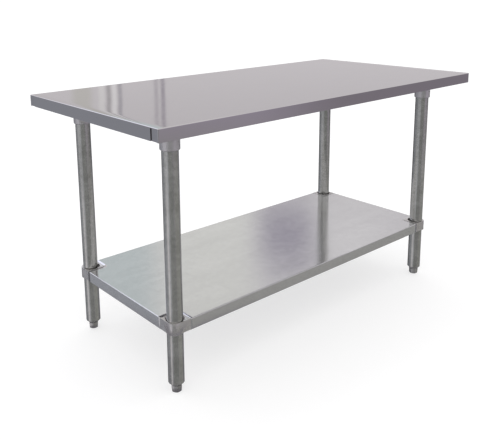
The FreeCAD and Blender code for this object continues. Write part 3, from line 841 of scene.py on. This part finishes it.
@dataclass
class Foot:
    """One levelling foot: a tapered hexagon with a rounded tip on a threaded stem."""

    finishes: Finishes
    corner: Corner
    height: float = 22 * MILLIMETRE
    taper: float = 4.0
    tip_flat: float = 10 * MILLIMETRE
    tip_height: float = 5.5 * MILLIMETRE
    shoulder: float = 1.5 * MILLIMETRE
    arc_steps: int = 8
    bowl_steps: int = 72
    soft: float = 0.5 * MILLIMETRE
    soft_angle: float = 25.0
    core_over: float = 0.1 * MILLIMETRE
    stem_chamfer: float = 1 * MILLIMETRE
    crest: tuple[float, float] = (0.45, 0.55)
    pitch: float = 1.954 * MILLIMETRE
    thread_depth: float = 1.0 * MILLIMETRE
    stem_radius: float = 6.35 * MILLIMETRE
    turn_steps: int = 28

    def build(self) -> None:
        """Make the foot and its thread as one piece."""
        node = f"foot_{self.corner.label}"
        low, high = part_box(node)
        mesh = self._tip(low, high)
        mesh_stem = self._stem(low.z + self.height - self.soft, high.z)
        joined = bpy.data.meshes.new("stem")
        mesh_stem.to_mesh(joined)
        mesh_stem.free()
        mesh.from_mesh(joined)
        bpy.data.meshes.remove(joined)
        move(mesh, Matrix.Translation(self.corner.axis))
        piece(f"bullet_{node}", mesh, self.finishes.foot, f"levelling_{node}", [node])

    def _tip(self, low: Vector, high: Vector) -> bmesh.types.BMesh:
        """The hexagon, its lower corners rounded off by a bowl shape.

        Args:
            low: The foot's lowest corner.
            high: The foot's highest corner.

        Returns:
            The rounded hexagon, on the origin's axis.
        """
        reach = (high.x - low.x) / 2
        slope = math.tan(math.radians(self.taper)) / math.cos(math.radians(30))
        foot_end = reach - self.height * slope
        seat = Matrix.Translation((0, 0, low.z + self.height / 2)) @ Matrix.Rotation(math.radians(30), 4, "Z")
        mesh = bmesh.new()
        bmesh.ops.create_cone(mesh, cap_ends=True, segments=6, radius1=foot_end, radius2=reach,
                              depth=self.height, matrix=seat)
        bowl = [(0, low.z)]
        for step in range(self.arc_steps + 1):
            angle = math.radians(90) * step / self.arc_steps
            bowl.append((self.tip_flat + (reach - self.tip_flat) * math.sin(angle),
                         low.z + self.tip_height * (1 - math.cos(angle))))
        bowl += [(reach, low.z + self.height - self.shoulder),
                 (reach - self.shoulder, low.z + self.height),
                 (0, low.z + self.height)]
        turned = lathe(bowl, self.bowl_steps, closed=False)
        shaped = combine(mesh, [(turned, "INTERSECT")])
        soften(shaped, self.soft, self.soft_angle)
        return shaped

    def _stem(self, bottom: float, top: float) -> bmesh.types.BMesh:
        """The stem: a thread wound up from a ridge, round a plain core.

        Args:
            bottom: Height of its lower end.
            top: Height of its upper end.

        Returns:
            The stem, on the origin's axis.
        """
        mesh = bmesh.new()
        root = self.stem_radius - self.thread_depth
        turns = int((top - bottom) / self.pitch) - 1
        ridge = [(root, 0), *((self.stem_radius, self.pitch * share) for share in self.crest),
                 (root, self.pitch)]
        points = [mesh.verts.new((radius, 0, bottom + rise)) for radius, rise in ridge]
        edges = [mesh.edges.new(pair) for pair in zip(points, points[1:])]
        steps = turns * self.turn_steps
        bmesh.ops.spin(mesh, geom=points + edges, axis=UP, cent=(0, 0, 0), angle=FULL_TURN * turns,
                       steps=steps, dvec=(0, 0, self.pitch / self.turn_steps), use_merge=False)
        bmesh.ops.remove_doubles(mesh, verts=mesh.verts, dist=CLOSE)
        side = root + self.core_over
        core = lathe([(0, bottom), (side, bottom), (side, top - self.stem_chamfer),
                      (root - self.stem_chamfer, top), (0, top)], self.turn_steps, closed=False)
        joined = bpy.data.meshes.new("core")
        core.to_mesh(joined)
        core.free()
        mesh.from_mesh(joined)
        bpy.data.meshes.remove(joined)
        bmesh.ops.recalc_face_normals(mesh, faces=mesh.faces)
        return mesh


@dataclass
class Undershelf:
    """The shelf: a galvanised pan notched at its corners, with its channel underneath."""

    finishes: Finishes
    gauge: float = 1.2 * MILLIMETRE
    lip: float = 10 * MILLIMETRE
    bend: float = 2.6 * MILLIMETRE
    hold: float = 1.2
    cell: float = 26 * MILLIMETRE
    wave: float = 0.5 * MILLIMETRE
    wave_length: float = 0.33
    wave_slice: float = 1.9
    fade: float = 0.07

    def build(self) -> None:
        """Make the pan and dress the channel."""
        low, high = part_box("undershelf")
        mesh = self._fold(low, high)
        for axis in (0, 1):
            cut_grid(mesh, axis, steps_between(low[axis], high[axis], self.cell))
            cut_grid(mesh, axis, (low[axis] + self.bend * self.hold, high[axis] - self.bend * self.hold))
        cut_grid(mesh, 2, (high.z - self.bend * self.hold,))
        self._settle(mesh, low, high)
        pan = piece("shelf_pan", mesh, self.finishes.sheet, Body.SHELF.value,
                    ["undershelf"])
        wall(pan, self.gauge)
        dress("shelf_channel", self.finishes.channel)
        dress("bracket_set_screws", self.finishes.plated)
        dress("socket_set_screws", self.finishes.plated)

    @staticmethod
    def notch_reach(corner: Corner) -> tuple[float, float]:
        """From a leg's axis to the notch's edges, along the directions of its bracket."""
        along, across = 38.5 * MILLIMETRE, 34 * MILLIMETRE
        return (along, across) if corner.value[3] % 180 == 0 else (across, along)

    def _fold(self, low: Vector, high: Vector) -> bmesh.types.BMesh:
        """The sheet with its four edges folded down and in.

        Args:
            low: The sheet's lowest corner.
            high: The sheet's highest corner.

        Returns:
            The folded sheet without thickness.
        """
        leg = Corner.REAR_RIGHT.axis
        along, across = self.notch_reach(Corner.REAR_RIGHT)
        notch_x = leg.x - along
        notch_y = leg.y - across
        mesh = bmesh.new()
        bmesh.ops.create_grid(mesh, x_segments=1, y_segments=1, size=0.5)
        bmesh.ops.scale(mesh, vec=(high.x - low.x, high.y - low.y, 1), verts=mesh.verts)
        bmesh.ops.translate(mesh, vec=(0, 0, high.z), verts=mesh.verts)
        cut_grid(mesh, 0, (-notch_x, notch_x))
        cut_grid(mesh, 1, (-notch_y, notch_y))
        corners = [face for face in mesh.faces
                   if abs(face.calc_center_median().x) > notch_x
                   and abs(face.calc_center_median().y) > notch_y]
        bmesh.ops.delete(mesh, geom=corners, context="FACES")
        sides = [edge for edge in mesh.edges if self._on_side(edge, high)]
        down = self._grow(mesh, sides, lambda vert: Vector((0, 0, low.z - high.z)))
        self._grow(mesh, down, lambda vert: self._inward(vert, high))
        folds = [edge for edge in mesh.edges if not edge.is_boundary and edge.calc_face_angle(0) > 1]
        bmesh.ops.bevel(mesh, geom=folds, offset=self.bend, segments=4, profile=0.5,
                        affect="EDGES", material=-1)
        bmesh.ops.recalc_face_normals(mesh, faces=mesh.faces)
        panel = max(mesh.faces, key=lambda face: face.calc_area())
        if panel.normal.z < 0:
            bmesh.ops.reverse_faces(mesh, faces=mesh.faces)
        return mesh

    def _on_side(self, edge: bmesh.types.BMEdge, high: Vector) -> bool:
        """Whether an edge lies along one of the shelf's four outer sides.

        Args:
            edge: The edge.
            high: The sheet's highest corner.

        Returns:
            True on an outer side.
        """
        along_x = all(abs(abs(vert.co.y) - high.y) < SAME for vert in edge.verts)
        along_y = all(abs(abs(vert.co.x) - high.x) < SAME for vert in edge.verts)
        return along_x or along_y

    def _inward(self, vert: bmesh.types.BMVert, high: Vector) -> Vector:
        """The way from an outer side towards the middle, one lip long."""
        if abs(abs(vert.co.y) - high.y) < SAME:
            return Vector((0, -math.copysign(self.lip, vert.co.y), 0))
        return Vector((-math.copysign(self.lip, vert.co.x), 0, 0))

    def _grow(self, mesh: bmesh.types.BMesh, edges: list,
              way: Callable[[bmesh.types.BMVert], Vector]) -> list:
        """Extrude edges and move what grew.

        Args:
            mesh: The sheet.
            edges: The edges to extrude.
            way: Gives each new corner's step.

        Returns:
            The new outer edges.
        """
        grown = bmesh.ops.extrude_edge_only(mesh, edges=edges)["geom"]
        verts = [item for item in grown if isinstance(item, bmesh.types.BMVert)]
        moves = [(vert, way(vert)) for vert in verts]
        for vert, step in moves:
            vert.co += step
        fresh = set(verts)
        return [item for item in grown if isinstance(item, bmesh.types.BMEdge)
                and item.is_boundary and all(vert in fresh for vert in item.verts)]

    def _settle(self, mesh: bmesh.types.BMesh, low: Vector, high: Vector) -> None:
        """Let the panel lie slightly uneven.

        Args:
            mesh: The folded sheet.
            low: Its lowest corner.
            high: Its highest corner.
        """
        for vert in mesh.verts:
            if abs(vert.co.z - high.z) > CLOSE:
                continue
            edge = min(vert.co.x - low.x, high.x - vert.co.x, vert.co.y - low.y, high.y - vert.co.y)
            ease = min(1.0, max(0.0, edge / self.fade)) ** 2
            swell = noise.noise(Vector((vert.co.x, vert.co.y, self.wave_slice)) / self.wave_length)
            vert.co.z -= self.wave * ease * (0.5 + 0.5 * swell)


@dataclass
class Bracket:
    """One cast bracket of the shelf: a sleeve on the leg, a plate and two side walls."""

    finishes: Finishes
    corner: Corner
    clearance: float = 0.3 * MILLIMETRE
    sleeve: float = 3.3 * MILLIMETRE
    rounding: float = 20 * MILLIMETRE
    void_gap: float = 3.8 * MILLIMETRE
    void_offset: float = 2.6 * MILLIMETRE
    void_depth: float = 12 * MILLIMETRE
    void_wall: float = 1.5 * MILLIMETRE
    plate: float = 4 * MILLIMETRE
    wing: float = 4.4 * MILLIMETRE
    wing_rise: float = 2 * MILLIMETRE
    tongue: float = 14 * MILLIMETRE
    tongue_margin: float = 5 * MILLIMETRE
    shelf_gauge: float = 1.2 * MILLIMETRE
    screw_hole: float = 4.1 * MILLIMETRE
    soft: float = 0.9 * MILLIMETRE
    soft_angle: float = 50.0
    corner_segments: int = 16
    over: float = 1 * MILLIMETRE
    steps: int = 96

    def build(self) -> None:
        """Cast the bracket and seat it on its leg."""
        node = f"shelf_bracket_{self.corner.label}"
        low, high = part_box(node)
        leg_low, leg_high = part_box(f"leg_{self.corner.label}")
        bore = (leg_high.x - leg_low.x) / 2 + self.clearance
        mesh = self._cast(low.z, high.z, bore)
        move(mesh, Matrix.Translation(self.corner.axis) @ self.corner.turn)
        piece(f"bracket_{self.corner.label}", mesh, self.finishes.casting, Body.SHELF.value,
              [node])

    def _cast(self, bottom: float, top: float, bore: float) -> bmesh.types.BMesh:
        """The casting, turned to the front-left, its leg axis on the origin.

        Args:
            bottom: Height of its lower end.
            top: Height of its upper end.
            bore: Radius of the hole for the leg.

        Returns:
            The casting.
        """
        outer = bore + self.sleeve
        reach = Undershelf.notch_reach(self.corner)
        inner = self.wing - outer
        solid = self._rounded((outer, outer), reach, self.rounding, bottom + self.wing_rise, top)
        hollow = self._rounded((-inner, -inner), (reach[0] + self.over, reach[1] + self.over),
                               self.rounding - self.wing, bottom, top - self.plate)
        block_low = self._rounded((outer, outer), (0, 0), self.rounding, bottom, top - self.over)
        sleeve = self._rod(outer, bottom, top - self.plate / 2)
        low, high = bottom + self.tongue_margin, top - self.tongue_margin
        face = self.shelf_gauge - outer
        along_x = block(Vector((reach[0] - self.over, face, low)),
                        Vector((reach[0] + self.tongue, inner, high)))
        along_y = block(Vector((face, reach[1] - self.over, low)),
                        Vector((inner, reach[1] + self.tongue, high)))
        void = self._rod(bore + self.void_gap, top - self.void_depth, top + self.over)
        boss = self._rod(bore + self.void_gap + self.void_wall, bottom, top - self.plate / 2)
        for round_piece in (void, boss):
            move(round_piece, Matrix.Translation((self.void_offset, self.void_offset, 0)))
        drill = self._rod(self.screw_hole, 0, reach[0])
        screw_height = top - self.plate - (top - self.plate - bottom) / 2
        move(drill, Matrix.Translation((0, 0, screw_height)) @ Matrix.Rotation(math.radians(90), 4, "Y"))
        cast = combine(solid, [(hollow, "DIFFERENCE"), (block_low, "UNION"), (sleeve, "UNION"),
                               (boss, "UNION"), (along_x, "UNION"), (along_y, "UNION"),
                               (self._rod(bore, bottom - self.over, top + self.over), "DIFFERENCE"),
                               (void, "DIFFERENCE"), (drill, "DIFFERENCE")])
        soften(cast, self.soft, self.soft_angle, within=lambda place:
               place.x < reach[0] - self.over and place.y < reach[1] - self.over)
        return cast

    def _rod(self, radius: float, bottom: float, top: float) -> bmesh.types.BMesh:
        """A solid cylinder about the leg's axis."""
        return lathe([(0, bottom), (radius, bottom), (radius, top), (0, top)], self.steps, closed=False)

    def _rounded(self, outward: tuple[float, float], inward: tuple[float, float], radius: float,
                 bottom: float, top: float) -> bmesh.types.BMesh:
        """A block round the leg's axis whose outer upright corner is rounded.

        Args:
            outward: Reach from the axis to the outer faces, along X and Y.
            inward: Reach from the axis to the inner faces, along X and Y.
            radius: Radius of the rounded corner.
            bottom: Height of its lower end.
            top: Height of its upper end.

        Returns:
            The block.
        """
        shape = block(Vector((-outward[0], -outward[1], bottom)), Vector((inward[0], inward[1], top)))
        posts = [edge for edge in shape.edges
                 if all(vert.co.x < -outward[0] / 2 and vert.co.y < -outward[1] / 2
                        for vert in edge.verts)]
        bmesh.ops.bevel(shape, geom=posts, offset=radius, segments=self.corner_segments, profile=0.5,
                        affect="EDGES", material=-1)
        return shape


# --------------------------------------------------------------------------------- studio


@dataclass
class Viewpoint:
    """The camera: where it stands, which way it looks and its lens."""

    place: tuple[float, float, float] = (-1.684, -1.71, 1.215)
    heading: float = 39.58
    dip: float = 11.57
    roll: float = -0.87
    focal_length: float = 46.62
    shift_x: float = 0.0774
    shift_y: float = -0.2

    def build(self) -> None:
        """Create the camera and make it the scene's own."""
        data = bpy.data.cameras.new("camera")
        data.lens = self.focal_length
        data.sensor_width = 36
        data.shift_x = self.shift_x
        data.shift_y = self.shift_y
        data.clip_end = 400
        camera = bpy.data.objects.new("camera", data)
        heading, dip, roll = (math.radians(angle) for angle in (self.heading, self.dip, self.roll))
        level = math.cos(dip)
        ahead = Vector((math.sin(heading) * level, math.cos(heading) * level, -math.sin(dip)))
        right = ahead.cross(UP).normalized()
        above = right.cross(ahead)
        tilted = right * math.cos(roll) + above * math.sin(roll)
        axes = Matrix((tilted, tilted.cross(ahead), -ahead)).transposed().to_4x4()
        camera.matrix_world = Matrix.Translation(self.place) @ axes
        bpy.context.scene.collection.objects.link(camera)
        bpy.context.scene.camera = camera


@dataclass(frozen=True)
class Patch:
    """A soft patch of the surround, placed by heading from +Y towards +X and by height, in degrees."""

    heading: float
    height: float
    half_width: float
    half_height: float
    softness: float
    colour: Colour


@dataclass
class Studio:
    """A plain pale floor, a plain pale surround and soft lights."""

    floor_tone: float = 0.42
    floor_glow: float = 0.62
    floor_size: float = 300.0
    backdrop: Colour = (1.0, 1.0, 1.0)
    fill: float = 1.06
    above: Colour = (0.90, 0.87, 0.89)
    below: Colour = (0.23, 0.22, 0.25)
    horizon_softness: float = 3.0
    patches: tuple[Patch, ...] = (
        Patch(154, -9, 24, 8, 14, (0.45, 0.40, 0.49)),
        Patch(120, -9, 8, 8, 10, (0.30, 0.27, 0.31)),
        Patch(140, -25, 34, 8, 8, (0.36, 0.355, 0.34)),
        Patch(216, -18, 24, 16, 20, (0.28, 0.28, 0.28)),
        Patch(-84, -14, 22, 10, 16, (0.56, 0.56, 0.60)),
        Patch(-85, -27, 7, 6, 6, (0.95, 0.90, 0.95)),
        Patch(-30, -14, 14, 14, 12, (0.34, 0.35, 0.39)),
        Patch(10, -18, 12, 14, 10, (0.10, 0.10, 0.11)),
        Patch(42, 7, 60, 9, 4, (0.67, 0.64, 0.66)),
        Patch(62, 22, 4, 5, 6, (0.78, 0.75, 0.78)),
        Patch(30.5, 24, 2.4, 8, 3, (0.68, 0.74, 0.75)),
        Patch(39, 24, 3, 6, 3, (0.92, 0.91, 0.88)),
        Patch(46.4, 21.8, 1.0, 1.0, 3.0, (0.34, 0.31, 0.40)),
        Patch(35.3, 9, 0.05, 7, 0.25, (0.42, 0.39, 0.43)),
        Patch(34.7, 9, 0.05, 7, 0.25, (0.52, 0.49, 0.52)),
        Patch(31.5, 9, 0.05, 7, 0.25, (0.47, 0.45, 0.48)),
        Patch(31.0, 9, 0.05, 7, 0.25, (0.80, 0.78, 0.79)),
        Patch(30.5, 9, 0.05, 7, 0.25, (0.47, 0.45, 0.46)),
        Patch(29.9, 9, 0.1, 7, 0.3, (0.76, 0.74, 0.74)),
        Patch(28.2, 9, 0.4, 7, 0.8, (0.60, 0.58, 0.56)),
        Patch(-13, 37, 32, 9, 6, (1.5, 1.53, 1.8)),
    )

    def build(self) -> None:
        """Lay the floor, light the room."""
        self._floor()
        self._surround()
        self._lamp("overhead", (0.3, 0.2, 3.4), (0, 0, 0), 3.2, 14)
        self._lamp("side", (-3.2, -1.2, 2.2), (0, 0, 0.5), 2.0, 8)
        bpy.context.scene.view_settings.view_transform = "Standard"

    def _floor(self) -> None:
        """The floor, which reflections don't show; the surround's lower half stands in for it there."""
        mesh = bmesh.new()
        bmesh.ops.create_grid(mesh, x_segments=1, y_segments=1, size=self.floor_size / 2)
        floor = scrap("floor", mesh)
        graph = Graph("pale_floor")
        cloud = graph.noise(graph.place(), 1.5, 3)
        tone = self.floor_tone
        floor.data.materials.append(graph.surface(
            Base_Color=graph.tint((tone * 0.99,) * 3, (tone,) * 3, cloud), Roughness=0.9,
            Emission_Color=(1.0, 1.0, 1.0), Emission_Strength=self.floor_glow))
        floor.visible_glossy = False

    def _surround(self) -> None:
        """Even light for matt surfaces, a soft room for shiny ones and a plain backdrop."""
        graph = Graph("surround", surround=True)
        way = graph.node("ShaderNodeTexCoord", output="Generated")
        split = graph.node("ShaderNodeSeparateXYZ", None, [way])
        east, north, rise = split, split.part("Y"), split.part("Z")
        heading = east.arctan(north) * (180 / math.pi)
        height = rise.arcsine() * (180 / math.pi)
        room = graph.tint(self.below, self.above,
                          height.band(-self.horizon_softness, self.horizon_softness))
        for patch in self.patches:
            across = abs((heading - patch.heading).wrap(-180, 180))
            upward = abs(height - patch.height)
            soft = patch.softness
            inside = (across.band(patch.half_width, patch.half_width + soft, 1, 0)
                      * upward.band(patch.half_height, patch.half_height + soft, 1, 0))
            room = graph.tint(room, patch.colour, inside)
        rays = graph.node("ShaderNodeLightPath", output="Is Camera Ray")
        seen = graph.node("ShaderNodeBackground", None, {"Color": self.backdrop})
        shiny = graph.node("ShaderNodeBackground", None, {"Color": room})
        matt = graph.node("ShaderNodeBackground", None, {"Color": (self.fill,) * 3})
        lit = graph.node("ShaderNodeMixShader", None, [rays.part("Is Diffuse Ray"), shiny, matt])
        whole = graph.node("ShaderNodeMixShader", None, [rays, lit, seen])
        graph.node("ShaderNodeOutputWorld", None, {"Surface": whole}, output=None)
        bpy.context.scene.world = graph.owner

    def _lamp(self, name: str, place: Sequence[float], target: Sequence[float], size: float,
              power: float) -> None:
        """A square soft light aimed at a point, left out of reflections.

        Args:
            name: The light's name.
            place: Where it stands.
            target: What it points at.
            size: Its side.
            power: Its strength, in watts.
        """
        data = bpy.data.lights.new(name, "AREA")
        data.size = size
        data.energy = power
        lamp = bpy.data.objects.new(name, data)
        lamp.location = place
        lamp.rotation_mode = "QUATERNION"
        lamp.rotation_quaternion = (Vector(target) - Vector(place)).to_track_quat("-Z", "Y")
        lamp.visible_glossy = False
        bpy.context.scene.collection.objects.link(lamp)


def main() -> None:
    """Build the table, its studio and its camera."""
    logging.basicConfig(level=logging.INFO, format="%(name)s: %(message)s")
    Viewpoint().build()
    Studio().build()
    finishes = Finishes()
    WorkTop(finishes).build()
    UnderFrame(finishes).build()
    Undershelf(finishes).build()
    for corner in Corner:
        Leg(finishes, corner).build()
        Foot(finishes, corner).build()
        Bracket(finishes, corner).build()


if __name__ == "__main__":
    main()
